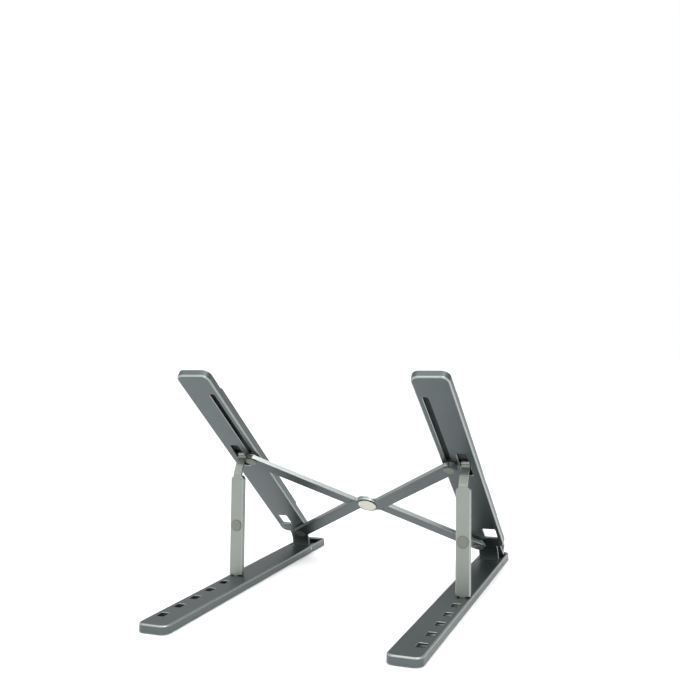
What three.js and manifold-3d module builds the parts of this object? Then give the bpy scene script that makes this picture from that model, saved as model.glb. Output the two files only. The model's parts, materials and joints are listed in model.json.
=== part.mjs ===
// A folding aluminium laptop stand, in millimetres, +Z up, standing on z = 0.
// The user sits on the -Y side; +X is the user's right. Two mirrored sides, each a base bar, a tilted
// upper bar hinged near its front and a strut that props it, are held apart by a pair of crossed arms.
import * as THREE from 'three';
import { mergeVertices } from 'three/addons/utils/BufferGeometryUtils.js';
import Module from 'manifold-3d';

const wasm = await Module();
wasm.setup();

// ---- driving dimensions -------------------------------------------------------------------------
const TILT = THREE.MathUtils.degToRad(39.1); // upper bar against the table, strut in the front hole
const GAP = 0.3; // running gap between separate pieces
const SKIN = 1.2; // wall and web of both channel bars

const BASE = { x: 78.2, width: 21, length: 250, bottom: 0.5, height: 5.3, corner: 5 };
// The rear foot fills the channel; the front one is low, as the hook dips into the channel when the hinge opens.
const FOOT = { rearHeight: 4.3, frontHeight: 1.2, inset: 1.5, corner: 3.6, frontLength: 20, rearLength: 14, fromEnd: 1.5 };
const HOLE = { x: 82.8, width: 5.4, length: 7.4, fromRear: 20.05, pitch: 19.4, count: 6 };
const KNUCKLE_SLOT = { width: 15.5, front: -103.6, rear: -90.6 };
const HOOK_WINDOW = { width: 18.2, front: -119.8, rear: -103.2 };

const HINGE = { y: -94.6, z: 3.5, pin: 1.2, barrel: 2.2 }; // base hinge axis, along X
const SETBACK = 11.7; // bar's front end behind the hinge, along the bar
const RISE = 8.2; // bar's underside above the hinge, square to the bar

const BAR = { x: 79.7, width: 24, length: 213.2, height: 5.0, corner: 5.5 };
const KNUCKLE = { x: 78.2, width: 14.6, radius: 14.2, thickness: 1.4, turn: 62 };
const PIVOT = { x: 73.1, front: 6, centre: 61, rear: 116 }; // crossed arms' three axes along the bar
const SLOT = { width: 3.6, front: 113.8, rear: 192.8 };
const STRUT_OPENING = { left: 79.7, right: 86.5, front: 103, rear: 130 };
const HOOK_OPENING = { left: 79.2, right: 88.4, front: 13.5, rear: 27 };

const ARM = { width: 10.2, offset: 5.4, near: 1.3, far: 4.3, disc: 8.6, innerEnd: 4.6 };
const FOLDED = { x: 5.8 }; // a pivot's distance from the middle when the arms are folded
const RIVET = { shank: 1.5, head: 3.9, headHeight: 0.4, collar: 3.2, washer: 3.7 };
const CENTRE = { shank: 2.5, head: 6.7, headHeight: 0.4, collar: 4.8 };

const STRUT = { x: 83, pinAt: 114.7, pinUp: 2.9, lean: THREE.MathUtils.degToRad(3.5) };
const WEB = { width: 9.6, neck: 6, rear: 8.0, thickness: 1.4, flange: 3.0 };
const STRUT_Z = { foot: -86.1, tongue: -88.1, shoulder: -17.9, neck: -15.6, rivet: -51 };
const HOOK = { x: 83.3, width: 7.4, pinAt: 1.5, pinUp: 3.3, barrel: 1.7, reach: 21, lip: 12.2, thickness: 1.7 };
const EAR = { thickness: 1.2, pin: 1.0, clear: 1.3 };
const PAD = { thickness: 1.6, inset: 0.5, rear: [96, 192], front: [36, 84] };

const FULL = 16; // sides of a small round piece

// ---- materials ----------------------------------------------------------------------------------
const paint = (color, roughness, metalness) => new THREE.MeshStandardMaterial({ color, roughness, metalness });
const anodised = paint(0x6f7776, 0.42, 0.9);
const strutSilver = paint(0x9fa39f, 0.42, 0.9);
const rivetSteel = paint(0xb4afa4, 0.35, 0.8);
const creamSteel = paint(0xcfccc0, 0.35, 0.7);
const pinSteel = paint(0xc4c2ba, 0.25, 0.9);
const silicone = paint(0x3a3d3e, 0.85, 0);
const rubber = paint(0x1d1e1f, 0.9, 0);
const nylon = paint(0xd8d5cb, 0.5, 0);

// ---- solids -------------------------------------------------------------------------------------
function solid(geometry) {
  const plain = geometry.clone();
  plain.deleteAttribute('normal');
  plain.deleteAttribute('uv');
  const merged = mergeVertices(plain, 1e-4);
  return new wasm.Manifold(new wasm.Mesh({
    numProp: 3,
    vertProperties: new Float32Array(merged.attributes.position.array),
    triVerts: new Uint32Array(merged.index.array),
  }));
}

function geometryOf(manifold) {
  const mesh = manifold.getMesh();
  const geometry = new THREE.BufferGeometry();
  geometry.setAttribute('position', new THREE.BufferAttribute(new Float32Array(mesh.vertProperties), 3));
  geometry.setIndex(new THREE.BufferAttribute(new Uint32Array(mesh.triVerts), 1));
  geometry.computeVertexNormals();
  return geometry;
}

const join = (first, ...rest) => rest.reduce((whole, piece) => whole.add(piece), first);
const cut = (first, ...rest) => rest.reduce((whole, piece) => whole.subtract(piece), first);

function block(x0, x1, y0, y1, z0, z1) {
  const geometry = new THREE.BoxGeometry(x1 - x0, y1 - y0, z1 - z0);
  return solid(geometry.translate((x0 + x1) / 2, (y0 + y1) / 2, (z0 + z1) / 2));
}

// An upright round post at (x, y) from z0 to z1.
function post(x, y, radius, z0, z1, sides = FULL) {
  const geometry = new THREE.CylinderGeometry(radius, radius, z1 - z0, sides).rotateX(Math.PI / 2);
  return solid(geometry.translate(x, y, (z0 + z1) / 2));
}

// A round bar along X, centred on (y, z).
function rod(x0, x1, y, z, radius, sides = FULL) {
  const geometry = new THREE.CylinderGeometry(radius, radius, x1 - x0, sides).rotateZ(Math.PI / 2);
  return solid(geometry.translate((x0 + x1) / 2, y, z));
}

function roundedShape(x0, x1, y0, y1, frontCorner, rearCorner) {
  const shape = new THREE.Shape();
  shape.moveTo(x0 + frontCorner, y0);
  shape.lineTo(x1 - frontCorner, y0);
  shape.absarc(x1 - frontCorner, y0 + frontCorner, frontCorner, -Math.PI / 2, 0);
  shape.lineTo(x1, y1 - rearCorner);
  shape.absarc(x1 - rearCorner, y1 - rearCorner, rearCorner, 0, Math.PI / 2);
  shape.lineTo(x0 + rearCorner, y1);
  shape.absarc(x0 + rearCorner, y1 - rearCorner, rearCorner, Math.PI / 2, Math.PI);
  shape.lineTo(x0, y0 + frontCorner);
  shape.absarc(x0 + frontCorner, y0 + frontCorner, frontCorner, Math.PI, 1.5 * Math.PI);
  return shape;
}

// A plate with rounded corners, from z0 to z1.
function plate(x0, x1, y0, y1, z0, z1, frontCorner, rearCorner = frontCorner) {
  const shape = roundedShape(x0, x1, y0, y1, frontCorner, rearCorner);
  const geometry = new THREE.ExtrudeGeometry(shape, { depth: z1 - z0, bevelEnabled: false, curveSegments: 5 });
  return solid(geometry.translate(0, 0, z0));
}

// A closed outline in the YZ plane, drawn as a shape of (y, z), pushed along X from x0 to x1.
function slab(outline, x0, x1, segments = 6) {
  const geometry = new THREE.ExtrudeGeometry(outline, { depth: x1 - x0, bevelEnabled: false, curveSegments: segments });
  const turn = new THREE.Matrix4().makeBasis(
    new THREE.Vector3(0, 1, 0), new THREE.Vector3(0, 0, 1), new THREE.Vector3(1, 0, 0));
  return solid(geometry.applyMatrix4(turn).translate(x0, 0, 0));
}

// A turned piece about the upright axis at (x, y), from a profile of [radius, z] that closes on the axis.
function turned(x, y, profile, sides = FULL) {
  const points = profile.map(([radius, z]) => new THREE.Vector2(radius, z));
  const geometry = new THREE.LatheGeometry(points, sides).rotateX(Math.PI / 2);
  return solid(geometry.translate(x, y, 0));
}

function washer(x, y, outer, inner, z0, z1) {
  return cut(post(x, y, outer, z0, z1), post(x, y, inner, z0 - 1, z1 + 1));
}

// ---- the scene graph ----------------------------------------------------------------------------
const stand = new THREE.Group();
const tilted = new THREE.Group(); // the plane of the upper bars: y along the bar, z out of its top
tilted.rotation.x = TILT;
tilted.position.set(0, HINGE.y, HINGE.z);
tilted.position.add(new THREE.Vector3(0, SETBACK, RISE).applyEuler(tilted.rotation));
stand.add(tilted);

function addNode(parent, name, manifold, material) {
  const mesh = new THREE.Mesh(geometryOf(manifold), material);
  mesh.name = name;
  parent.add(mesh);
  return mesh;
}

// Pieces are drawn for the user's right (+X); the left ones are the same solids mirrored.
const SIDES = [['right', 1], ['left', -1]];
const mirrored = (manifold, sign) => (sign > 0 ? manifold : manifold.mirror([1, 0, 0]));

function addPair(parent, name, manifold, material) {
  for (const [side, sign] of SIDES) addNode(parent, `${side}_${name}`, mirrored(manifold, sign), material);
}

// ---- base bars ----------------------------------------------------------------------------------
const baseTop = BASE.bottom + BASE.height;
const baseLeft = BASE.x - BASE.width / 2;
const baseRight = BASE.x + BASE.width / 2;
const baseRear = BASE.length / 2;
const baseFront = -BASE.length / 2;

function baseBar() {
  const outer = plate(baseLeft, baseRight, baseFront, baseRear, BASE.bottom, baseTop, BASE.corner);
  const hollow = plate(baseLeft + SKIN, baseRight - SKIN, baseFront + SKIN, baseRear - SKIN,
    BASE.bottom - 1, baseTop - SKIN, BASE.corner - SKIN);
  const through = (width, front, rear) => block(BASE.x - width / 2, BASE.x + width / 2, front, rear,
    baseTop - 2 * SKIN, baseTop + 1);
  const holes = [];
  for (let i = 0; i < HOLE.count; i += 1) {
    const y = baseRear - HOLE.fromRear - i * HOLE.pitch;
    holes.push(block(HOLE.x - HOLE.width / 2, HOLE.x + HOLE.width / 2, y - HOLE.length / 2,
      y + HOLE.length / 2, baseTop - 2 * SKIN, baseTop + 1));
  }
  const pinBore = rod(baseLeft - 1, baseRight + 1, HINGE.y, HINGE.z, HINGE.pin + GAP);
  return cut(outer, hollow, ...holes, pinBore,
    through(KNUCKLE_SLOT.width, KNUCKLE_SLOT.front, KNUCKLE_SLOT.rear),
    through(HOOK_WINDOW.width, HOOK_WINDOW.front, HOOK_WINDOW.rear));
}

function foot(front, rear, height) {
  return plate(baseLeft + FOOT.inset, baseRight - FOOT.inset, front, rear, 0, height, FOOT.corner);
}

addPair(stand, 'base_bar', baseBar(), anodised);
addPair(stand, 'base_hinge_pin', rod(baseLeft + 0.2, baseRight - 0.2, HINGE.y, HINGE.z, HINGE.pin), pinSteel);
const frontFoot = foot(baseFront + FOOT.fromEnd, baseFront + FOOT.fromEnd + FOOT.frontLength, FOOT.frontHeight);
const rearFoot = foot(baseRear - FOOT.fromEnd - FOOT.rearLength, baseRear - FOOT.fromEnd, FOOT.rearHeight);
addPair(stand, 'front_foot', frontFoot, rubber);
addPair(stand, 'rear_foot', rearFoot, rubber);

// ---- upper bars, in the tilted plane: underside at z = 0, front end at y = 0 -----------------------
const barLeft = BAR.x - BAR.width / 2;
const barRight = BAR.x + BAR.width / 2;

// The web's front end curls down into the base and is rolled round the hinge pin.
function knuckle() {
  const inner = KNUCKLE.radius;
  const outer = inner + KNUCKLE.thickness;
  const end = Math.PI / 2 + THREE.MathUtils.degToRad(KNUCKLE.turn);
  const curl = new THREE.Shape();
  curl.moveTo(1, 0);
  curl.lineTo(1, KNUCKLE.thickness);
  curl.lineTo(0, KNUCKLE.thickness);
  curl.absarc(0, -inner, outer, Math.PI / 2, end, false);
  curl.absarc(0, -inner, inner, end, Math.PI / 2, true);
  const left = KNUCKLE.x - KNUCKLE.width / 2;
  const right = KNUCKLE.x + KNUCKLE.width / 2;
  return join(slab(curl, left, right, 10), rod(left, right, -SETBACK, -RISE, HINGE.barrel));
}

// A pair of small upstanding ears that carry a pin across the bar.
function ears(left, right, y, up, halfLength) {
  const ear = (x) => join(block(x, x + EAR.thickness, y - halfLength, y + halfLength, SKIN / 2, up),
    rod(x, x + EAR.thickness, y, up, halfLength));
  return join(ear(left - EAR.thickness), ear(right));
}

function upperBar() {
  const outer = plate(barLeft, barRight, 0, BAR.length, 0, BAR.height, BAR.corner);
  const hollow = plate(barLeft + SKIN, barRight - SKIN, SKIN, BAR.length - SKIN, SKIN, BAR.height + 1,
    BAR.corner - SKIN);
  const mouth = block(barLeft + BAR.corner, barRight - SKIN - 1, -1, BAR.corner, SKIN, BAR.height + 1);
  const slot = roundedShape(PIVOT.x - SLOT.width / 2, PIVOT.x + SLOT.width / 2, SLOT.front, SLOT.rear,
    SLOT.width / 2 - 0.01, SLOT.width / 2 - 0.01);
  const slotTool = solid(new THREE.ExtrudeGeometry(slot, { depth: 4, bevelEnabled: false, curveSegments: 5 })
    .translate(0, 0, -1));
  const window = (o, corner) => plate(o.left, o.right, o.front, o.rear, -1, SKIN + 1, corner);
  const strutEars = ears(STRUT_OPENING.left, STRUT_OPENING.right, STRUT.pinAt, STRUT.pinUp, 2);
  const hookEars = ears(HOOK.x - HOOK.width / 2 - GAP, HOOK.x + HOOK.width / 2 + GAP, HOOK.pinAt,
    HOOK.pinUp, 1.7);
  const body = join(cut(outer, hollow, mouth), strutEars, hookEars, knuckle());
  return cut(body, slotTool, window(STRUT_OPENING, 1.5), window(HOOK_OPENING, 0.6),
    post(PIVOT.x, PIVOT.front, RIVET.shank + GAP, -1, SKIN + 1),
    rod(70, 90, STRUT.pinAt, STRUT.pinUp, EAR.clear),
    rod(75, 90, HOOK.pinAt, HOOK.pinUp, EAR.clear),
    rod(60, 95, -SETBACK, -RISE, HINGE.pin + GAP));
}

function topPad([front, rear]) {
  const low = BAR.height + 0.2;
  return plate(barLeft + PAD.inset, barRight - PAD.inset, front, rear, low, low + PAD.thickness, 2.5);
}

addPair(tilted, 'upper_bar', upperBar(), anodised);
addPair(tilted, 'rear_pad', topPad(PAD.rear), silicone);
addPair(tilted, 'front_pad', topPad(PAD.front), silicone);

// ---- flip-up front hooks --------------------------------------------------------------------------
function hookPlate() {
  const outline = new THREE.Shape();
  const low = HOOK.pinUp;
  const high = HOOK.pinUp + HOOK.thickness;
  outline.moveTo(HOOK.pinAt, low);
  outline.lineTo(HOOK.pinAt, high);
  outline.lineTo(-HOOK.reach + HOOK.thickness, high);
  outline.lineTo(-HOOK.reach + HOOK.thickness, HOOK.lip - HOOK.thickness / 2);
  outline.absarc(-HOOK.reach + HOOK.thickness / 2, HOOK.lip - HOOK.thickness / 2, HOOK.thickness / 2,
    0, Math.PI, false);
  outline.lineTo(-HOOK.reach, low + 1);
  outline.absarc(-HOOK.reach + 1, low + 1, 1, Math.PI, 1.5 * Math.PI, false);
  const left = HOOK.x - HOOK.width / 2;
  const right = HOOK.x + HOOK.width / 2;
  return cut(join(slab(outline, left, right), rod(left, right, HOOK.pinAt, HOOK.pinUp, HOOK.barrel)),
    rod(left - 1, right + 1, HOOK.pinAt, HOOK.pinUp, EAR.clear));
}

function hookPad() {
  const low = HOOK.pinUp + HOOK.thickness + 0.2;
  const inner = -HOOK.reach + HOOK.thickness;
  const left = HOOK.x - HOOK.width / 2 + 0.3;
  const right = HOOK.x + HOOK.width / 2 - 0.3;
  return join(block(left, right, inner + 0.2, inner + 1.6, low, HOOK.lip - 0.4),
    block(left, right, inner + 0.2, -12, low, low + 1.3));
}

const pinFrom = HOOK.x - HOOK.width / 2 - GAP - EAR.thickness;
const pinTo = HOOK.x + HOOK.width / 2 + GAP + EAR.thickness;
addPair(tilted, 'front_hook', hookPlate(), anodised);
addPair(tilted, 'hook_pad', hookPad(), silicone);
addPair(tilted, 'hook_pin', rod(pinFrom, pinTo, HOOK.pinAt, HOOK.pinUp, EAR.pin), pinSteel);

// ---- struts, in their own frame: the pin is the origin, z up the strut, y to the rear ---------------
function strutOutline(width) {
  const half = width / 2;
  const neck = WEB.neck / 2;
  const shape = new THREE.Shape();
  shape.moveTo(-half, STRUT_Z.foot);
  shape.lineTo(half, STRUT_Z.foot);
  shape.lineTo(half, STRUT_Z.shoulder);
  shape.lineTo(neck, STRUT_Z.neck);
  shape.lineTo(-neck, STRUT_Z.neck);
  shape.lineTo(-half, STRUT_Z.shoulder);
  return shape;
}

// An outline of (x, z) pushed along Y from y0 to y1.
function upright(shape, y0, y1) {
  const geometry = new THREE.ExtrudeGeometry(shape, { depth: y1 - y0, bevelEnabled: false });
  return solid(geometry.rotateX(Math.PI / 2).translate(0, y1, 0));
}

// The neck is a narrower channel that leans forward in two bends and ends in an eye round the pin.
function strutNeck() {
  const front = WEB.rear - WEB.thickness;
  const side = new THREE.Shape();
  side.moveTo(WEB.rear, STRUT_Z.neck - 0.5);
  side.lineTo(WEB.rear, -14.6);
  side.lineTo(4.9, -7.4);
  side.lineTo(1.7, -1);
  side.lineTo(-1.2, -1);
  side.lineTo(-1.2, -2.6);
  side.lineTo(0.6, -3.2);
  side.lineTo(3.5, -7.9);
  side.lineTo(front, -15);
  side.lineTo(front, STRUT_Z.neck - 0.5);
  const flange = new THREE.Shape();
  flange.moveTo(WEB.rear - 0.5, STRUT_Z.neck - 0.5);
  flange.lineTo(WEB.rear - 0.5, -14.6);
  flange.lineTo(4.5, -7.6);
  flange.lineTo(2.0, -3.0);
  flange.lineTo(-0.4, -3.0);
  flange.lineTo(2.0, -8.2);
  flange.lineTo(WEB.rear - WEB.flange, -15.2);
  flange.lineTo(WEB.rear - WEB.flange, STRUT_Z.neck - 0.5);
  const half = WEB.neck / 2;
  return join(slab(side, -half, half), slab(flange, -half, -half + 1), slab(flange, half - 1, half),
    rod(-half, half, 0, 0, 1.9));
}

function strutChannel() {
  const half = WEB.width / 2;
  const front = WEB.rear - WEB.thickness;
  const web = upright(strutOutline(WEB.width), front, WEB.rear);
  const flange = (x) => block(x, x + SKIN, WEB.rear - WEB.flange, WEB.rear, STRUT_Z.foot, STRUT_Z.shoulder);
  const tongue = block(-2, 2, front, WEB.rear, STRUT_Z.tongue, STRUT_Z.foot + 1);
  return cut(join(web, flange(-half), flange(half - SKIN), tongue, strutNeck()),
    rod(-10, 10, 0, 0, EAR.clear), boreThrough(WEB.rear - 5, 3));
}

const plateRear = WEB.rear - WEB.flange - GAP;
const plateFront = plateRear - 1.5;

function boreThrough(y, reach) {
  const geometry = new THREE.CylinderGeometry(1.8, 1.8, 2 * reach + 4, FULL);
  return solid(geometry.translate(0, y + reach / 2, STRUT_Z.rivet));
}

function strutPlate() {
  return cut(upright(strutOutline(WEB.width - 0.4), plateFront, plateRear), boreThrough(plateFront, 1));
}

// Round heads behind and in front, with the shank between them.
function strutRivet() {
  const profile = [[0, plateFront - 0.5], [2.8, plateFront - 0.5], [2.8, plateFront - 0.1], [1.5, plateFront - 0.1],
    [1.5, WEB.rear + 0.1], [3.9, WEB.rear + 0.1], [3.9, WEB.rear + 0.4], [3.6, WEB.rear + 0.6],
    [0, WEB.rear + 0.6]];
  const points = profile.map(([radius, y]) => new THREE.Vector2(radius, y));
  return solid(new THREE.LatheGeometry(points, FULL).translate(0, 0, STRUT_Z.rivet));
}

for (const [side, sign] of SIDES) {
  const strut = new THREE.Group();
  strut.position.set(sign * STRUT.x, STRUT.pinAt, STRUT.pinUp);
  strut.rotation.x = STRUT.lean - TILT;
  tilted.add(strut);
  addNode(strut, `${side}_strut_channel`, strutChannel(), strutSilver);
  addNode(strut, `${side}_strut_plate`, strutPlate(), strutSilver);
  addNode(strut, `${side}_strut_rivet`, strutRivet(), rivetSteel);
}
const strutPin = rod(STRUT_OPENING.left - EAR.thickness, STRUT_OPENING.right + EAR.thickness,
  STRUT.pinAt, STRUT.pinUp, EAR.pin);
addPair(tilted, 'strut_pin', strutPin, pinSteel);

// ---- crossed arms: the middle is the origin, x from the front pivot towards the slider ----------------
const reach = Math.hypot(PIVOT.x, PIVOT.centre - PIVOT.front);
const openAngle = Math.atan2(PIVOT.x, PIVOT.centre - PIVOT.front);
const foldedAngle = Math.asin(FOLDED.x / reach);
const half = ARM.width / 2;

// One half of an arm: from its end pivot on the x axis to the middle, where it is offset sideways.
function armHalf(direction, grow = 0, z0 = -ARM.far, z1 = -ARM.near) {
  const lean = Math.atan2(ARM.offset, reach);
  const shape = new THREE.Shape();
  const wide = half + grow;
  shape.moveTo(0, -wide);
  shape.lineTo(reach - ARM.innerEnd, -wide);
  shape.absarc(reach - ARM.innerEnd, 0, wide, -Math.PI / 2, Math.PI / 2, false);
  shape.lineTo(0, wide);
  shape.absarc(0, 0, wide, Math.PI / 2, 1.5 * Math.PI, false);
  const geometry = new THREE.ExtrudeGeometry(shape, { depth: z1 - z0, bevelEnabled: false, curveSegments: grow ? 6 : 14 });
  geometry.rotateZ(-lean).translate(-reach, 0, z0);
  if (direction > 0) geometry.rotateZ(Math.PI);
  return solid(geometry);
}

const bothHalves = (grow, z0, z1) => join(armHalf(-1, grow, z0, z1), armHalf(1, grow, z0, z1));

// The arms share one layer: each keeps only its own half of the thickness wherever the other one passes.
function crossArm(lower) {
  const middle = -(ARM.near + ARM.far) / 2;
  const lapLow = lower ? middle : -ARM.far - 1;
  const lapHigh = lower ? -ARM.near + 1 : middle;
  const disc = post(0, 0, ARM.disc, -ARM.far, -ARM.near, 48);
  const whole = join(bothHalves(0, -ARM.far, -ARM.near), disc);
  const other = bothHalves(GAP, lapLow - (lower ? GAP / 2 : 0), lapHigh + (lower ? 0 : GAP / 2))
    .mirror([0, 1, 0]);
  const sweeps = [post(0, 0, ARM.disc + GAP, lapLow - (lower ? GAP / 2 : 0), lapHigh + (lower ? 0 : GAP / 2), 32)];
  const steps = 8;
  for (let i = 0; i <= steps; i += 1) {
    const angle = openAngle + (foldedAngle - openAngle) * (i / steps);
    sweeps.push(other.rotate([0, 0, THREE.MathUtils.radToDeg(-2 * angle)]));
  }
  const bores = [post(-reach, 0, RIVET.shank + GAP, -9, 9), post(reach, 0, RIVET.shank + GAP, -9, 9),
    post(0, 0, CENTRE.shank + GAP, -9, 9)];
  return cut(whole, ...sweeps, ...bores);
}

function armGroup(sign) {
  const group = new THREE.Group();
  group.position.set(0, PIVOT.centre, 0);
  group.rotation.z = Math.PI / 2 + sign * openAngle;
  tilted.add(group);
  return group;
}

addNode(armGroup(1), 'cross_arm_a', crossArm(true), anodised);
addNode(armGroup(-1), 'cross_arm_b', crossArm(false).mirror([0, 1, 0]), anodised);

// Rivets: the head is under the arm, the collar holds the top end.
function rivet(x, y, collarLow) {
  const low = -ARM.far - 0.1;
  const face = low - RIVET.headHeight;
  return turned(x, y, [[0, face], [RIVET.head - 0.2, face], [RIVET.head, face + 0.2], [RIVET.head, low],
    [RIVET.shank, low], [RIVET.shank, collarLow], [RIVET.collar, collarLow], [RIVET.collar, collarLow + 0.9],
    [0, collarLow + 0.9]]);
}

addPair(tilted, 'pivot_rivet', rivet(PIVOT.x, PIVOT.front, SKIN + 0.2), rivetSteel);
addPair(tilted, 'slider_rivet', rivet(PIVOT.x, PIVOT.rear, SKIN + 0.2), rivetSteel);
const spacerHigh = -0.2;
const spacerLow = -ARM.near + 0.2;
addPair(tilted, 'pivot_washer', washer(PIVOT.x, PIVOT.front, RIVET.washer, RIVET.shank + 0.2, spacerLow, spacerHigh),
  nylon);
addPair(tilted, 'slider_washer', washer(PIVOT.x, PIVOT.rear, RIVET.washer, RIVET.shank + 0.2, spacerLow, spacerHigh),
  nylon);

const underDisc = -ARM.far - 0.1;
const overDisc = -ARM.near + 0.1;
const headFace = underDisc - CENTRE.headHeight;
addNode(tilted, 'centre_rivet', turned(0, PIVOT.centre, [[0, headFace], [CENTRE.head - 0.2, headFace],
  [CENTRE.head, headFace + 0.2], [CENTRE.head, underDisc], [CENTRE.shank, underDisc], [CENTRE.shank, overDisc + 0.35],
  [CENTRE.collar, overDisc + 0.35], [CENTRE.collar, overDisc + 0.85], [0, overDisc + 0.85]], 32), creamSteel);
addNode(tilted, 'centre_washer', washer(0, PIVOT.centre, CENTRE.collar + 0.6, CENTRE.shank + 0.2, overDisc, overDisc + 0.25),
  nylon);

export default stand;
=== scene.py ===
"""Looks of a folding aluminium laptop stand, laid out as a Blender add-on and run as a script."""

import json
import math

import bmesh
import bpy
from mathutils import Matrix, Vector


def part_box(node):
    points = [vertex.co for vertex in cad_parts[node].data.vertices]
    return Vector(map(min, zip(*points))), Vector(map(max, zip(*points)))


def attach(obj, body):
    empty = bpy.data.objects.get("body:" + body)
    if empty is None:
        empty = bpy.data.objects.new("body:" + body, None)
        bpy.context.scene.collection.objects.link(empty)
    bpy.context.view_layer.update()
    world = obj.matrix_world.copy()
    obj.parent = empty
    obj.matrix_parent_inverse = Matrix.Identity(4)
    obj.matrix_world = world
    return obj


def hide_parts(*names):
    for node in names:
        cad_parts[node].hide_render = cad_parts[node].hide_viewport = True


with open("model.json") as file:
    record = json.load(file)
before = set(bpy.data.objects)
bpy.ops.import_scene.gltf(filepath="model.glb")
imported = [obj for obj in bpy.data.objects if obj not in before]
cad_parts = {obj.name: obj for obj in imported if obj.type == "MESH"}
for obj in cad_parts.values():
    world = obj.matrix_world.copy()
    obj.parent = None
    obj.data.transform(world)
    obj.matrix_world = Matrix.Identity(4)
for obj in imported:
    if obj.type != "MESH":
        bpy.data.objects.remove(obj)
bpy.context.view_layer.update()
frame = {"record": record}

bl_info = {
    "name": "Folding Laptop Stand",
    "version": (1, 0, 0),
    "blender": (4, 5, 0),
    "location": "View3D > Sidebar > Laptop Stand",
    "description": "Builds the pieces of a folding aluminium laptop stand round its frame",
    "category": "Object",
}

MM = 0.001
RECORD = frame["record"]
JOINTS = {joint["name"]: joint for joint in RECORD["behaviour"]["joints"]}
MOUNTS = {mount["name"]: mount for mount in RECORD["mounts"]}
OPENINGS = {opening["name"]: opening["box_m"] for opening in RECORD["physics"]["openings"]}


# ---- sizes and colours -----------------------------------------------------------------------------


def length(name, millimetres, description):
    """A length that a user may change, given in millimetres and kept in metres."""
    return bpy.props.FloatProperty(name=name, description=description, default=millimetres * MM, unit="LENGTH")


def paint(name, value, description):
    """A colour that a user may change, given as an sRGB hex value."""
    return bpy.props.FloatVectorProperty(
        name=name, description=description, default=linear(value), size=3, subtype="COLOR", min=0, max=1
    )


def linear(value):
    """An sRGB hex value as linear red, green and blue."""
    channels = [int(value[i : i + 2], 16) / 255 for i in (1, 3, 5)]
    return tuple(c / 12.92 if c <= 0.04045 else ((c + 0.055) / 1.055) ** 2.4 for c in channels)


class StandSizes(bpy.types.PropertyGroup):
    """Sizes of the stand's pieces."""

    skin: length("Sheet thickness", 1.2, "Thickness of the webs and walls of both bars")
    # the cut's brighter finish is partly a painted highlight along the edges
    edge: length("Edge cut", 0.95, "Width of the bright cut along the outer edges of the bars")
    rim: length("Opening rim", 0.22, "Width of the cut round each opening")
    base_corner: length("Base corner", 5.0, "Radius of the base bar's corners")
    hole_length: length("Level hole length", 7.4, "Level hole along the bar")
    hole_width: length("Level hole width", 5.4, "Level hole across the bar")
    bar_width: length("Upper bar width", 24.0, "Width of an upper bar")
    bar_length: length("Upper bar length", 213.2, "Length of an upper bar's web")
    bar_height: length("Upper bar height", 5.0, "Height of an upper bar's walls over its underside")
    bar_corner: length("Upper bar corner", 5.5, "Radius of the upper bar's corners")
    bar_offset: length("Upper bar offset", 79.7, "Middle of an upper bar from the middle of the stand")
    arm_near: length("Arm near face", 1.3, "Arm's upper face below the bars' underside")
    arm_far: length("Arm far face", 4.3, "Arm's lower face below the bars' underside")
    strut_width: length("Strut width", 9.6, "Width of a strut below its shoulders")
    neck_width: length("Neck width", 6.0, "Width of a strut above its shoulders")


class StandColours(bpy.types.PropertyGroup):
    """Colours of the stand's finishes."""

    # the anodised grey is darkened with painted shade: the shade and dark reflections of a laptop resting on
    # the stand
    anodised: paint("Anodised grey", "#5C6364", "Grey green anodised aluminium of the bars and arms")
    # cut edge colour: bare cut aluminium, lightened as a painted highlight along edges and rims
    cut_edge_and_highlight: paint("Cut edge", "#9BA19F", "Bright cut edges of the anodised pieces")
    # the struts' grey is painted lighter than the bars' for the light on their rear faces
    strut: paint("Strut silver", "#8B908B", "Silver grey anodised aluminium of the struts")
    rivet: paint("Rivet", "#767971", "Dull nickel of the small rivets")
    centre: paint("Middle rivet", "#C8C6BC", "Pale nickel of the middle rivet")
    pin: paint("Pins", "#C9C8C2", "Bright steel of the hinge pins")
    silicone: paint("Silicone", "#3E4243", "Grey silicone of the pads")
    rubber: paint("Rubber", "#1C1D1E", "Black rubber of the feet")
    nylon: paint("Nylon", "#D9D5C8", "Natural nylon of the washers")


# ---- modelling by hand ------------------------------------------------------------------------------


def only(piece):
    """Selects this piece alone."""
    bpy.ops.object.select_all(action="DESELECT")
    piece.select_set(True)
    bpy.context.view_layer.objects.active = piece


def settle(piece, matrix=None):
    """Puts the piece's place, turn and scale into its mesh."""
    only(piece)
    if matrix is not None:
        piece.matrix_world = matrix @ piece.matrix_world
    bpy.ops.object.transform_apply(location=True, rotation=True, scale=True)
    return piece


def with_slots(piece):
    """Gives a new piece its two finish slots: the main one and the one for cut edges, whose lighter colour is
    partly a painted highlight.
    """
    for name in ("anodised_aluminium_with_painted_shade", "cut_edge_and_highlight"):
        piece.data.materials.append(bpy.data.materials[name])
    return piece


def block(low, high):
    """A block between two corners."""
    low, high = Vector(low), Vector(high)
    bpy.ops.object.select_all(action="DESELECT")
    bpy.ops.mesh.primitive_cube_add(size=1, location=(low + high) / 2)
    piece = bpy.context.object
    piece.scale = high - low
    return settle(with_slots(piece))


def post(place, radius, low, high, axis="Z", sides=48):
    """A round post about an axis through place, from low to high along it."""
    turn = {"X": (0, math.pi / 2, 0), "Y": (math.pi / 2, 0, 0), "Z": (0, 0, 0)}[axis]
    middle = Vector(place)
    middle["XYZ".index(axis)] = (low + high) / 2
    bpy.ops.object.select_all(action="DESELECT")
    bpy.ops.mesh.primitive_cylinder_add(
        vertices=sides, radius=radius, depth=high - low, location=middle, rotation=turn
    )
    return settle(with_slots(bpy.context.object))


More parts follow.
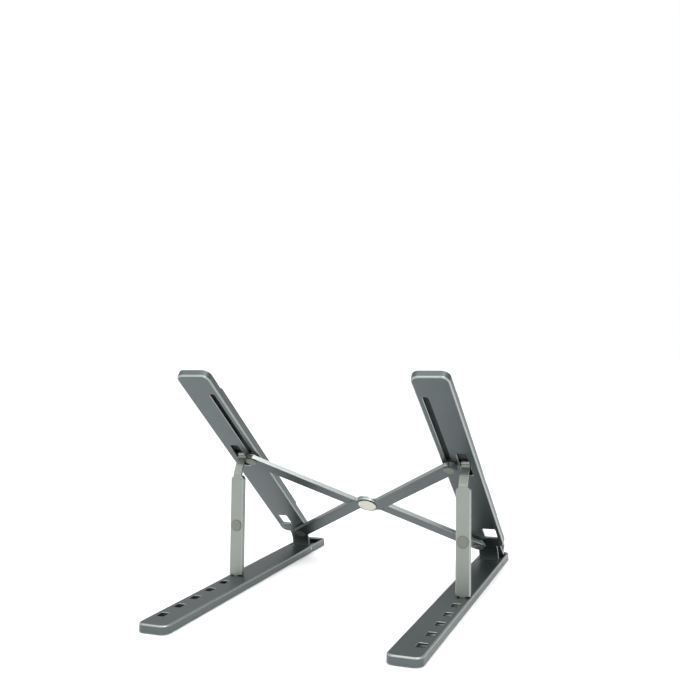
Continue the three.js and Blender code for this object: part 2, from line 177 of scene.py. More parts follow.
def edit(piece, kind, wanted):
    """Opens the piece in edit mode with only the edges or faces that pass the test selected."""
    only(piece)
    bpy.ops.object.mode_set(mode="EDIT")
    bpy.ops.mesh.select_mode(type=kind)
    bpy.ops.mesh.select_all(action="DESELECT")
    mesh = bmesh.from_edit_mesh(piece.data)
    for part in mesh.edges if kind == "EDGE" else mesh.faces:
        if wanted(part):
            part.select_set(True)
    bmesh.update_edit_mesh(piece.data)


def leave():
    """Goes back to object mode."""
    bpy.ops.object.mode_set(mode="OBJECT")


def along(axis):
    """A test for edges that run along one axis."""
    others = [i for i in range(3) if i != "XYZ".index(axis)]
    near = 1e-6
    return lambda edge: all(abs(edge.verts[0].co[i] - edge.verts[1].co[i]) < near for i in others)


def at(axis, value):
    """A test for edges or faces that lie in one plane."""
    i = "XYZ".index(axis)
    return lambda part: all(abs(v.co[i] - value) < 1e-6 for v in part.verts)


def bevel(piece, wanted, width, segments, finish=-1, clamp=True):
    """Rounds or cuts the edges that pass the test."""
    edit(piece, "EDGE", wanted)
    bpy.ops.mesh.bevel(offset=width, segments=segments, affect="EDGES", material=finish, clamp_overlap=clamp)
    leave()
    return piece


def combine(piece, other, how="DIFFERENCE"):
    """Cuts or joins the piece with another one, which is used up."""
    only(piece)
    tool = piece.modifiers.new("combine", "BOOLEAN")
    tool.object = other
    tool.operation = how
    tool.solver = "EXACT"
    bpy.ops.object.modifier_apply(modifier=tool.name)
    bpy.data.objects.remove(other, do_unlink=True)
    return piece


def cut(piece, *tools):
    """Cuts the piece with each tool in turn."""
    for tool in tools:
        combine(piece, tool)
    return piece


def join(piece, *others):
    """Makes one solid of the pieces."""
    for other in others:
        combine(piece, other, "UNION")
    return piece


def rounded(low, high, corner, segments=8, axis="Z"):
    """A block whose edges along one axis are rounded."""
    return bevel(block(low, high), along(axis), corner, segments)


def window(low, high, corner, face, rim, segments=4):
    """A tool that cuts a rounded opening through a web, with a slanted rim at the face given by its height."""
    low, high = Vector(low), Vector(high)
    up = 1 if face > (low.z + high.z) / 2 else -1
    if up > 0:
        high.z = face - rim
    else:
        low.z = face + rim
    tool = rounded(low, high, corner, segments)
    edit(tool, "FACE", at("Z", high.z if up > 0 else low.z))
    bpy.ops.mesh.extrude_region_move(TRANSFORM_OT_translate={"value": (0, 0, up * 2 * rim)})
    size = high - low
    bpy.ops.transform.resize(
        value=((size.x + 4 * rim) / size.x, (size.y + 4 * rim) / size.y, 1),
        center_override=((low + high) / 2),
    )
    leave()
    # the slanted rim takes the cut edge finish, lightened as a painted highlight round the opening
    for face_ in tool.data.polygons:
        if 0.2 < abs(face_.normal.z) < 0.95:
            face_.material_index = 1
    return tool


def turned_disc(place, radius, low, high, edge, axis="Z", sides=64):
    """A round disc whose two rims are rounded."""
    disc = post(place, radius, low, high, axis, sides)
    i = "XYZ".index(axis)
    rim = lambda edge_: any(all(abs(v.co[i] - value) < 1e-6 for v in edge_.verts) for value in (low, high))
    return bevel(disc, rim, edge, 3)


def groove(place, inner, outer, low, high, axis="Z"):
    """A ring-shaped tool that cuts a groove round a rivet's head."""
    return cut(post(place, outer, low, high, axis, 96), post(place, inner, low - CUT, high + CUT, axis, 96))


def smooth(piece):
    """Soft shading over the rounds and flat shading on the flats."""
    only(piece)
    bpy.ops.object.shade_smooth_by_angle(angle=math.radians(38))
    weight = piece.modifiers.new("weight", "WEIGHTED_NORMAL")
    weight.keep_sharp = True
    weight.weight = 100
    bpy.ops.object.modifier_apply(modifier=weight.name)
    return piece


def copy_of(piece, flip=False):
    """A copy with its own mesh, mirrored across the stand's middle if flip is set."""
    only(piece)
    bpy.ops.object.duplicate(linked=False)
    twin = bpy.context.object
    if flip:
        twin.scale.x = -1
        settle(twin)
        bpy.ops.object.mode_set(mode="EDIT")
        bpy.ops.mesh.select_all(action="SELECT")
        bpy.ops.mesh.normals_make_consistent(inside=False)
        leave()
    return twin


def hand_over(piece, name, finishes, body, node, place=None):
    """Names a finished piece, gives it its finishes and hangs it on its body."""
    settle(piece, place)
    smooth(piece)
    piece.name = name
    piece.data.name = name
    for slot_number in (0, 1):
        piece.data.materials[slot_number] = bpy.data.materials[finishes[min(slot_number, len(finishes) - 1)]]
    if len(finishes) == 1:
        piece.data.materials.pop(index=1)
    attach(piece, body)
    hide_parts(node)
    return piece


def hand_over_pair(piece, what, finishes, body, place=None):
    """Hands over a piece modelled for the right side and its mirrored copy for the left."""
    settle(piece, place)
    twin = copy_of(piece, flip=True)
    for made, side in ((piece, "right"), (twin, "left")):
        node = f"{side}_{what}"
        hand_over(made, f"{node}_detailed", finishes, f"{side}_{body}", node)


# ---- places, from the frame --------------------------------------------------------------------------

PIVOT_FROM_END = 6.0 * MM  # the arm's front pivot behind the upper bar's front end
STRUT_LEAN = math.radians(3.5)
CUT = 1.0 * MM  # how far a cutting tool runs past a face


def tilted_place():
    """The upper bars' plane: y along the bars from their front ends, z out of their tops, underside at zero."""
    normal = Vector(MOUNTS["laptop_right_rear"]["axis"])
    turn = Matrix.Rotation(math.atan2(-normal.y, normal.z), 4, "X")
    pivot = Vector(JOINTS["fold_width"]["pos_m"])
    pivot.x = 0
    return Matrix.Translation(pivot) @ turn @ Matrix.Translation((0, -PIVOT_FROM_END, 0))


TILTED = tilted_place()


def in_bar(joint):
    """A joint's place in the upper bars' plane."""
    return TILTED.inverted() @ Vector(JOINTS[joint]["pos_m"])


def strut_place():
    """The right strut's own frame: its pin is the origin and z runs up the strut."""
    pin = Vector(JOINTS["right_strut_fold"]["pos_m"])
    return Matrix.Translation(pin) @ Matrix.Rotation(STRUT_LEAN, 4, "X")


# ---- base bars ----------------------------------------------------------------------------------------


class STAND_OT_base_bars(bpy.types.Operator):
    """Build both base bars: channels with level holes, a slot for the knuckle and a window for the hook"""

    bl_idname = "stand.base_bars"
    bl_label = "Base bars"

    SLOT_HALF, SLOT_AHEAD, SLOT_BEHIND = 7.75 * MM, 9 * MM, 4 * MM  # knuckle slot, from the hinge
    WINDOW_HALF, WINDOW_FRONT, WINDOW_REAR = 9.1 * MM, 5.2 * MM, 8.6 * MM  # from the bar's end and the hinge
    PIN_BORE = 1.35 * MM

    def execute(self, context):
        size = context.scene.stand_sizes
        low, high = (Vector(corner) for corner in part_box("right_base_bar"))
        skin = Vector((size.skin, size.skin, 0))
        bar = rounded(low, high, size.base_corner, 10)
        bevel(bar, at("Z", high.z), size.edge, 3, finish=1)
        bevel(bar, at("Z", low.z), 0.2 * MM, 2, finish=1)
        hollow = rounded(
            low + skin - Vector((0, 0, CUT)), high - skin - Vector((0, 0, size.skin)),
            size.base_corner - size.skin, 6,
        )
        bevel(hollow, at("Z", high.z - size.skin), 0.5 * MM, 2)
        cut(bar, hollow)
        web = (high.z - size.skin - CUT, high.z)
        for x, y in self.level_holes():
            half = Vector((size.hole_width / 2, size.hole_length / 2))
            hole = (x - half.x, y - half.y, web[0]), (x + half.x, y + half.y, web[1])
            cut(bar, window(*hole, 0.6 * MM, high.z, size.rim))
        hinge = Vector(JOINTS["right_base_hinge"]["pos_m"])
        middle = (low.x + high.x) / 2
        slot = window(
            (middle - self.SLOT_HALF, hinge.y - self.SLOT_AHEAD, web[0]),
            (middle + self.SLOT_HALF, hinge.y + self.SLOT_BEHIND, web[1]),
            0.8 * MM, high.z, 0.2 * MM,
        )
        opening = window(
            (middle - self.WINDOW_HALF, low.y + self.WINDOW_FRONT, web[0]),
            (middle + self.WINDOW_HALF, hinge.y - self.WINDOW_REAR, web[1]),
            0.3 * MM, high.z, 0.15 * MM,
        )
        bore = post(hinge, self.PIN_BORE, low.x - CUT, high.x + CUT, "X", 32)
        cut(bar, slot, opening, bore)
        hand_over_pair(bar, "base_bar", ("anodised_aluminium_with_painted_shade", "cut_edge_and_highlight"), "base")
        return {"FINISHED"}

    def level_holes(self):
        """The middles of the level holes: five free ones and the one that the strut stands in."""
        boxes = [OPENINGS[f"right_level_hole_{i}"] for i in range(1, 6)]
        middles = [[(box[0][i] + box[1][i]) / 2 for i in (0, 1)] for box in boxes]
        pitch = middles[1][1] - middles[0][1]
        return middles + [[middles[-1][0], middles[-1][1] + pitch]]


# ---- upper bars ---------------------------------------------------------------------------------------


class STAND_OT_upper_bars(bpy.types.Operator):
    """Build both upper bars: channels with a slot, openings, ears for the pins and the rolled front knuckle"""

    bl_idname = "stand.upper_bars"
    bl_label = "Upper bars"

    SLOT_HALF, SLOT_FRONT, SLOT_REAR = 1.8 * MM, 113.8 * MM, 192.8 * MM
    STRUT_OPENING = (79.7 * MM, 103 * MM), (86.5 * MM, 130 * MM)  # front left and rear right corners
    HOOK_OPENING = (79.2 * MM, 13.5 * MM), (88.4 * MM, 27 * MM)
    EAR = 1.2 * MM
    STRUT_EAR_HALF, HOOK_EAR_HALF, HOOK_EAR_OUT = 2 * MM, 1.7 * MM, 4 * MM
    KNUCKLE_HALF, KNUCKLE_INNER, KNUCKLE_OUTER = 7.3 * MM, 14.2 * MM, 15.6 * MM
    KNUCKLE_TURN = math.radians(62)
    BARREL, PIN_BORE = 2.2 * MM, 1.35 * MM
    FAR = 40 * MM  # the reach of the blocks that trim the knuckle's curl

    def execute(self, context):
        size = context.scene.stand_sizes
        middle = size.bar_offset
        left, right = middle - size.bar_width / 2, middle + size.bar_width / 2
        skin, top, end = size.skin, size.bar_height, size.bar_length
        bar = rounded((left, 0, 0), (right, end, top), size.bar_corner, 10)
        bevel(bar, at("Z", 0), size.edge, 3, finish=1)
        bevel(bar, at("Z", top), 0.25 * MM, 2, finish=1)
        corner = size.bar_corner - skin
        hollow = rounded((left + skin, skin, skin), (right - skin, end - skin, top + CUT), corner, 6)
        bevel(hollow, at("Z", skin), 0.5 * MM, 2)
        mouth = block((left + size.bar_corner, -CUT, skin), (right - skin - CUT, size.bar_corner, top + CUT))
        cut(bar, hollow, mouth)
        strut = in_bar("right_strut_fold")
        hook = in_bar("right_hook_flip")
        (opening_left, _), (opening_right, _) = self.STRUT_OPENING
        join(bar, *self.ears(opening_left, opening_right, strut, self.STRUT_EAR_HALF, skin))
        hook_ears = hook.x - self.HOOK_EAR_OUT, hook.x + self.HOOK_EAR_OUT
        join(bar, *self.ears(*hook_ears, hook, self.HOOK_EAR_HALF, skin))
        pivot = in_bar("fold_width")
        ends = (pivot.x - self.SLOT_HALF, self.SLOT_FRONT), (pivot.x + self.SLOT_HALF, self.SLOT_REAR)
        slot, neck_opening, hook_opening = (
            window((*low, -CUT), (*high, skin + CUT), corner, 0, 0.3 * MM, segments)
            for (low, high), corner, segments in (
                (ends, 1.78 * MM, 8), (self.STRUT_OPENING, 1.5 * MM, 4), (self.HOOK_OPENING, 0.6 * MM, 4)
            )
        )
        cut(bar, slot, neck_opening, hook_opening)
        cut(bar, post(pivot, 1.8 * MM, -CUT, skin + CUT, "Z", 32))
        for pin, left_end, right_end in ((strut, 70 * MM, 90 * MM), (hook, 75 * MM, 90.2 * MM)):
            cut(bar, post(pin, 1.2 * MM, left_end, right_end, "X", 24))
        join(bar, self.knuckle())
        hand_over_pair(bar, "upper_bar", ("anodised_aluminium_with_painted_shade", "cut_edge_and_highlight"), "upper", TILTED)
        return {"FINISHED"}

    def ears(self, left, right, pin, half, skin):
        """Two upstanding ears that carry a pin, with rounded tops."""
        pair = []
        for x in (left - self.EAR, right):
            ear = block((x, pin.y - half, skin / 2), (x + self.EAR, pin.y + half, pin.z + half))
            crown = lambda edge: at("Z", pin.z + half)(edge) and along("X")(edge)
            pair.append(bevel(ear, crown, half * 0.98, 8))
        return pair

    def knuckle(self):
        """The web's front end, curled down and rolled round the hinge pin."""
        hinge = in_bar("right_base_hinge")
        left, right = hinge.x - self.KNUCKLE_HALF, hinge.x + self.KNUCKLE_HALF
        inner, outer, far = self.KNUCKLE_INNER, self.KNUCKLE_OUTER, self.FAR
        centre = Vector((0, 0, -inner + 0.05 * MM))
        curl = post(centre, outer, left, right, "X", 120)
        cut(curl, post(centre, inner, left - CUT, right + CUT, "X", 120))
        cut(curl, block((left - CUT, 0.4 * MM, -far), (right + CUT, far, far)))
        beyond = block((left - CUT, -far, -far), (right + CUT, far, 0))
        turn = Matrix.Translation(centre) @ Matrix.Rotation(self.KNUCKLE_TURN, 4, "X")
        cut(curl, settle(beyond, turn @ Matrix.Rotation(math.radians(-90), 4, "X")))
        sides = lambda edge: any(at("X", value)(edge) for value in (left, right))
        bevel(curl, sides, 0.3 * MM, 2, finish=1)
        barrel = turned_disc(hinge, self.BARREL, left, right, 0.25 * MM, "X", 48)
        join(curl, barrel)
        return cut(curl, post(hinge, self.PIN_BORE, left - CUT, right + CUT, "X", 32))


# ---- front hooks --------------------------------------------------------------------------------------


class STAND_OT_front_hooks(bpy.types.Operator):
    """Build both flip-up front hooks, each with its silicone pad and its pin"""

    bl_idname = "stand.front_hooks"
    bl_label = "Front hooks"

    HALF, FRONT, THICK, TIP = 3.7 * MM, -21 * MM, 1.7 * MM, 12.2 * MM
    BARREL, BORE, PIN, PIN_HALF = 1.55 * MM, 1.25 * MM, 1.0 * MM, 5.2 * MM

    def execute(self, context):
        pin = in_bar("right_hook_flip")
        left, right = pin.x - self.HALF, pin.x + self.HALF
        front, thick, tip = self.FRONT, self.THICK, self.TIP
        hook = block((left, front + thick, pin.z), (right, pin.y, pin.z + thick))
        edit(hook, "FACE", at("Y", front + thick))
        bpy.ops.mesh.extrude_region_move(TRANSFORM_OT_translate={"value": (0, -thick, 0)})
        leave()
        root = lambda face: at("Z", pin.z + thick)(face) and face.calc_center_median().y < front + thick
        edit(hook, "FACE", root)
        bpy.ops.mesh.extrude_region_move(TRANSFORM_OT_translate={"value": (0, 0, tip - pin.z - thick)})
        leave()
        crown = lambda edge: at("Z", tip)(edge) and along("X")(edge)
        bevel(hook, crown, 0.8 * MM, 4)
        heel = lambda edge: at("Z", pin.z)(edge) and at("Y", front)(edge)
        bevel(hook, heel, 1.0 * MM, 5)
        sides = lambda edge: any(at("X", value)(edge) for value in (left, right))
        bevel(hook, sides, 0.25 * MM, 2, finish=1)
        # An odd number of sides keeps the barrel's and the bore's corners out of the plate's own planes.
        join(hook, turned_disc(pin, self.BARREL, left + 0.03 * MM, right - 0.03 * MM, 0.2 * MM, "X", 41))
        cut(hook, post(pin, self.BORE, left - CUT, right + CUT, "X", 25))
        hand_over_pair(hook, "front_hook", ("anodised_aluminium_with_painted_shade", "cut_edge_and_highlight"), "hook", TILTED)
        self.pad(left, right, front + thick, pin.z + thick, tip)
        rod = turned_disc(pin, self.PIN, pin.x - self.PIN_HALF, pin.x + self.PIN_HALF, 0.2 * MM, "X", 24)
        hand_over_pair(rod, "hook_pin", ("bright_steel",), "upper", TILTED)
        return {"FINISHED"}

    def pad(self, left, right, face, top, tip):
        """The silicone that the laptop's front edge leans on, bent round the hook's inner corner."""
        inset = 0.3 * MM
        low = top + 0.15 * MM
        back = face + 0.15 * MM
        upright = block((left + inset, back, low), (right - inset, back + 1.4 * MM, tip - 0.4 * MM))
        lying = block((left + inset, back, low), (right - inset, -12 * MM, low + 1.3 * MM))
        pad = join(upright, lying)
        bevel(pad, lambda edge: True, 0.35 * MM, 3)
        hand_over_pair(pad, "hook_pad", ("silicone",), "hook", TILTED)


# ---- struts -------------------------------------------------------------------------------------------


class STAND_OT_struts(bpy.types.Operator):
    """Build both struts: the pressed rear channel with its bent neck, the front plate, rivet and pin"""

    bl_idname = "stand.struts"
    bl_label = "Struts"

    FOOT, SHOULDER, NECK, RIVET = -86.1 * MM, -17.9 * MM, -15.6 * MM, -51 * MM
    REAR, WALL, DEPTH = 8.0 * MM, 1.4 * MM, 3.0 * MM
    BENDS = ((-14.2, 6.6, 8.0), (-7.6, 3.35, 4.75), (-3.0, 0.2, 1.6))  # height, front and rear of the neck

    def execute(self, context):
        size = context.scene.stand_sizes
        place = strut_place()
        for made, what in ((self.channel, "strut_channel"), (self.front_plate, "strut_plate")):
            hand_over_pair(made(size), what, ("strut_aluminium_painted_light", "cut_edge_and_highlight"), "strut", place)
        hand_over_pair(self.rivet(), "strut_rivet", ("rivet_nickel",), "strut", place)
        pin = in_bar("right_strut_fold")
        rod = turned_disc(pin, 1.0 * MM, 78.6 * MM, 87.6 * MM, 0.2 * MM, "X", 24)
        hand_over_pair(rod, "strut_pin", ("bright_steel",), "upper", TILTED)
        return {"FINISHED"}

    def body(self, width, neck_width, front, rear):
        """A flat body with cut shoulders, from the foot to the start of the neck."""
        half = width / 2
        piece = block((-half, front, self.FOOT), (half, rear, self.NECK))
        shoulder = lambda edge: at("Z", self.NECK)(edge) and along("Y")(edge)
        bevel(piece, shoulder, (width - neck_width) / 2, 1)
        foot = lambda edge: at("Z", self.FOOT)(edge) and along("Y")(edge)
        return bevel(piece, foot, 0.6 * MM, 3)

    def channel(self, size):
        """The rear channel: a tray open to the front, its neck bent forward twice, and a tongue at the foot."""
        half = size.strut_width / 2
        wall = 1.2 * MM
        tray = self.body(size.strut_width, size.neck_width, self.REAR - self.DEPTH, self.REAR)
        bevel(tray, at("Y", self.REAR), 0.5 * MM, 3, finish=1)
        inner = self.REAR - self.WALL
        hollow = block((-half + wall, self.REAR - self.DEPTH - CUT, self.FOOT - CUT),
                       (half - wall, inner, self.SHOULDER - wall))
        behind_neck = block((-half - CUT, self.REAR - self.DEPTH - CUT, self.SHOULDER), (half + CUT, inner, 0))
        cut(tray, hollow, behind_neck)
        join(tray, self.neck(size), self.tongue(inner))
        bore = post((0, 0, self.RIVET), 1.8 * MM, inner - CUT, self.REAR + CUT, "Y", 24)
        ring = groove((0, 0, self.RIVET), 3.75 * MM, 4.15 * MM, self.REAR - 0.35 * MM, self.REAR + CUT, "Y")
        return cut(tray, bore, ring, post((0, 0, 0), 1.25 * MM, -half, half, "X", 24))

    def neck(self, size):
        """A strip drawn upwards from the web, bent forward, and closed with an eye round the pin."""
        half = size.neck_width / 2
        low = self.NECK - 1 * MM
        strip = block((-half, self.REAR - self.WALL, low), (half, self.REAR, self.NECK + 0.4 * MM))
        height = self.NECK + 0.4 * MM
        front, rear = self.REAR - self.WALL, self.REAR
        for bend in self.BENDS:
            edit(strip, "FACE", at("Z", height))
            bpy.ops.mesh.extrude_region_move(TRANSFORM_OT_translate={"value": (0, 0, bend[0] * MM - height)})
            bpy.ops.transform.translate(value=(0, (bend[1] + bend[2] - front / MM - rear / MM) * MM / 2, 0))
            leave()
            height, front, rear = bend[0] * MM, bend[1] * MM, bend[2] * MM
        edit(strip, "FACE", at("Z", height))
        bpy.ops.mesh.extrude_region_move(TRANSFORM_OT_translate={"value": (0, -0.8 * MM, -height - 0.5 * MM)})
        leave()
        bends = lambda edge: along("X")(edge) and edge.verts[0].co.z > self.NECK + 0.5 * MM
        bevel(strip, bends, 0.8 * MM, 4)
        sides = lambda edge: any(at("X", value)(edge) for value in (-half, half))
        bevel(strip, sides, 0.3 * MM, 2, finish=1)
        wings = [self.wing(x, x + 1 * MM) for x in (-half + 0.35 * MM, half - 1.35 * MM)]
        eye = turned_disc((0, 0, 0), 1.9 * MM, -half + 0.04 * MM, half - 0.04 * MM, 0.25 * MM, "X", 40)
        return join(strip, *wings, eye)

    def wing(self, left, right):
        """One of the neck's side walls, which follows the neck's bends in front of the strip."""
        front, rear = self.REAR - self.DEPTH, self.REAR - 0.5 * MM
        wall = block((left, front, self.NECK - 0.5 * MM), (right, rear, -14.9 * MM))
        height = -14.9 * MM
        for up, ahead, behind in ((-7.9, 2.1, 4.5), (-3.0, -0.4, 1.5)):
            edit(wall, "FACE", at("Z", height))
            bpy.ops.mesh.extrude_region_move(TRANSFORM_OT_translate={"value": (0, 0, up * MM - height)})
            bpy.ops.transform.translate(value=(0, (ahead + behind) * MM / 2 - (front + rear) / 2, 0))
            height, front, rear = up * MM, ahead * MM, behind * MM
            leave()
        return wall

    def tongue(self, inner):
        """The tongue that stands in a level hole."""
        tip = -88.0 * MM
        tongue = block(
            (-2 * MM, inner + 0.02 * MM, tip), (2 * MM, self.REAR - 0.02 * MM, self.FOOT + 1.5 * MM)
        )
        ends = lambda edge: at("Z", tip)(edge)
        return bevel(tongue, ends, 0.3 * MM, 2)

    def front_plate(self, size):
        """The flat plate in front of the channel."""
        front, rear = 3.2 * MM, 4.7 * MM
        flat = self.body(size.strut_width - 0.4 * MM, size.neck_width, front, rear)
        faces = lambda edge: any(at("Y", value)(edge) for value in (front, rear))
        bevel(flat, faces, 0.3 * MM, 2, finish=1)
        return cut(flat, post((0, 0, self.RIVET), 1.8 * MM, front - CUT, rear + CUT, "Y", 24))

    def rivet(self):
        """A round rivet with flat, softly rounded heads."""
        place = (0, 0, self.RIVET)
        shank = post(place, 1.5 * MM, 3.0 * MM, 8.2 * MM, "Y", 32)
        head = turned_disc(place, 3.9 * MM, 8.1 * MM, 8.6 * MM, 0.2 * MM, "Y", 64)
        foot = turned_disc(place, 2.8 * MM, 2.6 * MM, 3.1 * MM, 0.15 * MM, "Y", 48)
        return join(shank, head, foot)


# ---- crossed arms --------------------------------------------------------------------------------------


class STAND_OT_crossed_arms(bpy.types.Operator):
    """Build the two crossed arms, half-lapped at the middle rivet"""

    bl_idname = "stand.crossed_arms"
    bl_label = "Crossed arms"

    EASE = 0.55 * MM  # bright easing along the outlines of both faces: cut metal with a painted highlight
    SHORTEST = 0.8 * MM  # the bores and the lap have shorter edges than this, the outline longer ones
    SHARP = 1.2  # radians between a face and the wall beside it

    def execute(self, context):
        size = context.scene.stand_sizes
        centre = in_bar("centre_pivot")
        for node, body in (("cross_arm_a", "arm_a"), ("cross_arm_b", "arm_b")):
            arm = copy_of(bpy.data.objects[node])
            arm.data.materials.clear()
            with_slots(arm)
            settle(arm, TILTED.inverted())
            bpy.ops.object.mode_set(mode="EDIT")
            bpy.ops.mesh.select_all(action="SELECT")
            bpy.ops.mesh.remove_doubles(threshold=0.002 * MM)
            bpy.ops.mesh.dissolve_limited(angle_limit=math.radians(0.5), delimit=set())
            leave()
            bevel(arm, self.outline(-size.arm_near, -size.arm_far), self.EASE, 3, finish=1, clamp=False)
            for face in arm.data.polygons:
                if abs(face.normal.z) < 0.3:
                    face.material_index = 1  # the walls are sheared, and brighter than the faces: bare cut metal, lightened further as a painted highlight
            if node == "cross_arm_a":
                cut(arm, groove(centre, 6.6 * MM, 7.15 * MM, -size.arm_far - CUT, -size.arm_far + 0.5 * MM))
            finish = "anodised_aluminium_with_painted_shade", "cut_edge_and_highlight"
            hand_over(arm, f"{node}_detailed", finish, body, node, TILTED)
        return {"FINISHED"}

    def outline(self, near, far):
        """A test for a face's outline: an edge at either face beside a wall of the arm's full thickness."""

        def wanted(edge):
            level = any(all(abs(v.co.z - z) < 0.004 * MM for v in edge.verts) for z in (near, far))
            if not level or not edge.is_manifold or edge.calc_length() < self.SHORTEST:
                return False
            if edge.calc_face_angle() < self.SHARP:
                return False
            heights = [[v.co.z for v in face.verts] for face in edge.link_faces]
            return any(max(z) - min(z) > (near - far) * 0.95 for z in heights)

        return wanted


# ---- rivets and washers --------------------------------------------------------------------------------


class STAND_OT_rivets(bpy.types.Operator):
    """Build the arms' rivets and washers"""

    bl_idname = "stand.rivets"
    bl_label = "Rivets and washers"

    def execute(self, context):
        size = context.scene.stand_sizes
        pivot, centre = in_bar("fold_width"), in_bar("centre_pivot")
        slider = Vector((pivot.x, 2 * centre.y - pivot.y, 0))
        under = -size.arm_far - 0.1 * MM
        over = -size.arm_near + 0.1 * MM
        for what, place, bodies in (
            ("pivot", pivot, {"right": "right_upper", "left": "left_upper"}),
            ("slider", slider, {"right": "arm_b", "left": "arm_a"}),
        ):
            rivet = self.rivet(place, under, 3.9 * MM, 1.5 * MM, size.skin + 0.2 * MM, 3.2 * MM, 0.4 * MM)
            ring = self.washer(place, 3.7 * MM, 1.7 * MM, -size.arm_near + 0.2 * MM, -0.2 * MM)
            for made, kind, finish, slot in (
                (rivet, "rivet", "rivet_nickel", "rivet"),
                (ring, "washer", "nylon", "washer"),
            ):
                settle(made, TILTED)
                twin = copy_of(made, flip=True)
                for piece, side in ((made, "right"), (twin, "left")):
                    node = f"{side}_{what}_{kind}"
                    hand_over(piece, f"{node}_detailed", (finish,), bodies[side], node)
        middle = self.rivet(centre, under, 6.7 * MM, 2.5 * MM, over + 0.35 * MM, 4.8 * MM, 0.4 * MM, 0.5 * MM)
        hand_over(
            middle, "centre_rivet_detailed", ("pale_nickel",), "arm_a", "centre_rivet", TILTED
        )
        ring = self.washer(centre, 5.4 * MM, 2.7 * MM, over, over + 0.25 * MM)
        hand_over(ring, "centre_washer_detailed", ("nylon",), "arm_a", "centre_washer", TILTED)
        return {"FINISHED"}

    def rivet(self, place, under, head, shank, collar_low, collar, thick, collar_thick=0.8 * MM):
        """A rivet: head below with a shallow dished face, shank, and a collar above."""
        stem = post(place, shank, under - thick / 2, collar_low + collar_thick / 2, "Z", 48)
        cap = turned_disc(place, head, under - thick, under, thick * 0.3, "Z", 96)
        rim = head * 0.13
        edit(cap, "FACE", at("Z", under - thick))
        bpy.ops.mesh.inset(thickness=rim, depth=0)
        bpy.ops.mesh.inset(thickness=0.15 * MM, depth=-0.12 * MM)
        leave()
        top = turned_disc(place, collar, collar_low, collar_low + collar_thick, 0.15 * MM, "Z", 64)
        return join(stem, cap, top)

    def washer(self, place, outer, inner, low, high):
        """A flat washer with eased edges."""
        ring = turned_disc(place, outer, low, high, 0.08 * MM, "Z", 64)
        return cut(ring, post(place, inner, low - CUT, high + CUT, "Z", 40))


# ---- pads, feet and hinge pins -------------------------------------------------------------------------


class STAND_OT_pads_and_feet(bpy.types.Operator):
    """Build the silicone pads, the rubber feet and the base hinge pins"""

    bl_idname = "stand.pads_and_feet"
    bl_label = "Pads, feet and hinge pins"

    PAD = 1.7 * MM  # thickness of the silicone

    def execute(self, context):
        size = context.scene.stand_sizes
        half = size.bar_width / 2 - 0.5 * MM
        low = size.bar_height + 0.1 * MM
        for what, front, rear in (("rear_pad", 96, 192), ("front_pad", 36, 84)):
            top = low + self.PAD
            pad = rounded(
                (size.bar_offset - half, front * MM, low), (size.bar_offset + half, rear * MM, top), 2.5 * MM, 6
            )
            bevel(pad, at("Z", top), 0.6 * MM, 4)
            hand_over_pair(pad, what, ("silicone",), "upper", TILTED)
        for what in ("front_foot", "rear_foot"):
            low_corner, high_corner = (Vector(corner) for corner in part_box(f"right_{what}"))
            high_corner.z += 0.25 * MM
            foot = rounded(low_corner, high_corner, 3.6 * MM, 6)
            bevel(foot, at("Z", low_corner.z), 0.4 * MM, 3)
            hand_over_pair(foot, what, ("rubber",), "base")
        low_corner, high_corner = (Vector(corner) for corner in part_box("right_base_hinge_pin"))
        hinge = Vector(JOINTS["right_base_hinge"]["pos_m"])
        rod = turned_disc(hinge, 1.2 * MM, low_corner.x, high_corner.x, 0.25 * MM, "X", 32)
        hand_over_pair(rod, "base_hinge_pin", ("bright_steel",), "base")
        return {"FINISHED"}


# ---- finishes ------------------------------------------------------------------------------------------


def add_node(tree, kind, settings=None, links=None):
    """Adds a node, sets its values and links its inputs from other nodes' outputs."""
    node = tree.nodes.new(kind)
    for key, value in (settings or {}).items():
        if key in node.inputs:
            node.inputs[key].default_value = value
        else:
            setattr(node, key, value)
    for key, output in (links or {}).items():
        tree.links.new(output, node.inputs[key])
    return node


def new_finish(name, colour, metallic, roughness, spread, grain, bump, tint=0.06):
    """A finish with a fine grain. Its roughness wanders by spread, its colour by tint; grain is in metres."""
    material = bpy.data.materials.new(name)
    material.use_nodes = True
    tree = material.node_tree
    shader = tree.nodes["Principled BSDF"]
    shader.inputs["Metallic"].default_value = metallic
    place = add_node(tree, "ShaderNodeTexCoord").outputs["Object"]
    fine = add_node(tree, "ShaderNodeTexNoise", {"Scale": 1 / grain, "Detail": 3.0, "Roughness": 0.6},
                    {"Vector": place})
    broad = add_node(tree, "ShaderNodeTexNoise", {"Scale": 1 / (18 * MM), "Detail": 2.0}, {"Vector": place})
    light = tuple(min(1.0, c * (1 + tint)) for c in colour) + (1.0,)
    dark = tuple(c * (1 - tint) for c in colour) + (1.0,)
    mix = add_node(tree, "ShaderNodeMix", {"data_type": "RGBA"})
    mix.inputs[6].default_value = dark
    mix.inputs[7].default_value = light
    tree.links.new(broad.outputs["Fac"], mix.inputs[0])
    tree.links.new(mix.outputs[2], shader.inputs["Base Color"])
    rough = add_node(tree, "ShaderNodeMapRange", {"To Min": roughness - spread, "To Max": roughness + spread},
                     {"Value": fine.outputs["Fac"]})
    tree.links.new(rough.outputs["Result"], shader.inputs["Roughness"])
    relief = add_node(tree, "ShaderNodeBump", {"Strength": bump, "Distance": 0.05 * MM},
                      {"Height": fine.outputs["Fac"]})
    tree.links.new(relief.outputs["Normal"], shader.inputs["Normal"])
    return material


